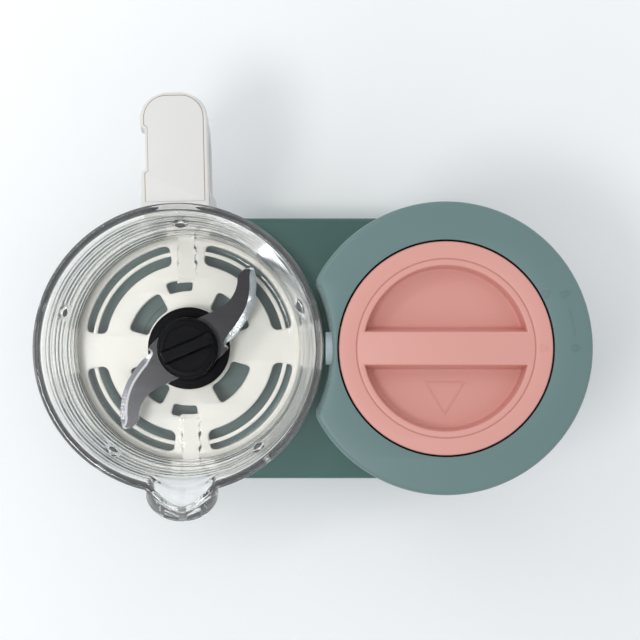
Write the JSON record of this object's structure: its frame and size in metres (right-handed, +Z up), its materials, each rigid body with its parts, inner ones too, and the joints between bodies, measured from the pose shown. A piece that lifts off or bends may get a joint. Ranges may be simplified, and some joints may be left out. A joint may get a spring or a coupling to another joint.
{
  "type": "baby food maker",
  "caption": "Countertop baby food maker: glass blending jug with handle and spout on a drive base beside a steam tower with a twist-off water cap.",
  "frame": {"origin": "middle of the base's footprint, on the table", "axes": "+Z up; +X from the steam tower to the bowl; the bowl's handle and the control knob face -Y, the spout faces +Y"},
  "size_m": [0.3355, 0.261, 0.232],
  "materials": {
    "green_plastic": "fine satin texture",
    "base_plastic": "fine satin texture",
    "dark_plastic": "matte",
    "black_plastic": "semi gloss",
    "white_plastic": "semi gloss",
    "pink_plastic": "satin",
    "port_plastic": "translucent",
    "clear_glass": "clear",
    "grey_plastic": "satin",
    "foot_rubber": "matte",
    "seal_rubber": "matte",
    "clear_rubber": "matte",
    "belt_rubber": "matte",
    "screw_steel": "satin",
    "shaft_steel": "ground",
    "blade_steel": "brushed",
    "core_steel": "laminated",
    "copper_core": "enamelled wire",
    "cast_aluminium": "as cast",
    "tank_aluminium": "satin",
    "heater_metal": "dull",
    "bush_brass": "turned",
    "board_green": "solder resist",
    "ceramic": "glazed"
  },
  "bodies": {
    "housing": {"base_shell": "base_plastic", "bottom_cover": "dark_plastic", "feet": "foot_rubber", "cover_screws": "screw_steel", "cord_gland": "dark_plastic", "tower_shell": "green_plastic", "top_ring": "green_plastic", "knob_bezel": "grey_plastic", "rotary_switch": "dark_plastic", "control_board": "board_green", "interlock_switch": "dark_plastic", "motor_bracket": "cast_aluminium", "motor_stator": "core_steel", "motor_end_cap": "cast_aluminium", "motor_bearings": "shaft_steel", "motor_screws": "screw_steel", "drive_belt": "belt_rubber", "bearing_housing": "cast_aluminium", "spindle_bearings": "shaft_steel", "spindle_seal": "seal_rubber", "housing_screws": "screw_steel", "water_tank": "tank_aluminium", "boiler_gasket": "seal_rubber", "heating_plate": "cast_aluminium", "heating_element": "heater_metal", "thermostat": "ceramic", "thermal_fuse": "ceramic", "boiler_screws": "screw_steel", "steam_duct": "grey_plastic", "nozzle_seal": "seal_rubber", "steam_nozzle": "port_plastic"},
    "rotor": {"motor_shaft": "shaft_steel", "motor_rotor": "copper_core", "drive_pulley": "dark_plastic", "cooling_fan": "dark_plastic"},
    "spindle": {"drive_spindle": "shaft_steel", "driven_pulley": "dark_plastic", "drive_coupling": "dark_plastic"},
    "bowl": {"glass_bowl": "clear_glass", "bowl_base": "white_plastic", "bowl_gasket": "clear_rubber", "handle_shell": "white_plastic", "handle_cover": "white_plastic", "handle_screws": "screw_steel", "blade_collar": "black_plastic", "shaft_bush": "bush_brass", "collar_nut": "dark_plastic"},
    "blade_set": {"blade": "blade_steel", "blade_spacer": "black_plastic", "blade_hub": "black_plastic", "blade_shaft": "shaft_steel", "blade_dog": "shaft_steel"},
    "plug": {"cap_plug": "pink_plastic", "cap_seal": "seal_rubber", "valve_body": "dark_plastic"},
    "valve": {"valve_weight": "screw_steel"},
    "cap": {"water_cap": "pink_plastic", "cap_clip": "screw_steel"},
    "knob": {"control_knob": "white_plastic", "knob_shaft": "shaft_steel"}
  },
  "joints": [
    {"name": "spindle_spin", "type": "hinge", "parent": "housing", "child": "spindle", "pos_m": [0.08, 0, 0.04], "axis": [0, 0, 1], "continuous": true},
    {"name": "motor_spin", "type": "hinge", "parent": "housing", "child": "rotor", "pos_m": [-0.08, 0, 0.04], "axis": [0, 0, 1], "continuous": true},
    {"name": "bowl_lift", "type": "slide", "parent": "housing", "child": "bowl", "axis": [0, 0, 1], "range_m": [0, 0.19]},
    {"name": "blade_spin", "type": "hinge", "parent": "bowl", "child": "blade_set", "pos_m": [0.08, 0, 0.09], "axis": [0, 0, 1], "continuous": true},
    {"name": "cap_lift", "type": "slide", "parent": "housing", "child": "plug", "axis": [0, 0, 1], "range_m": [0, 0.05]},
    {"name": "cap_turn", "type": "hinge", "parent": "plug", "child": "cap", "pos_m": [-0.08, 0, 0.22], "axis": [0, 0, 1], "range_deg": [0, 28.6]},
    {"name": "valve_lift", "type": "slide", "parent": "plug", "child": "valve", "axis": [0, 0, 1], "range_m": [0, 0.0025]},
    {"name": "knob_turn", "type": "hinge", "parent": "housing", "child": "knob", "pos_m": [-0.08, -0.087, 0.1], "axis": [0, -1, 0], "range_deg": [-45, 45]}
  ],
  "couplings": [
    {"joint": "motor_spin", "follows": "spindle_spin", "ratio": 2.5},
    {"joint": "blade_spin", "follows": "spindle_spin", "ratio": 1}
  ]
}
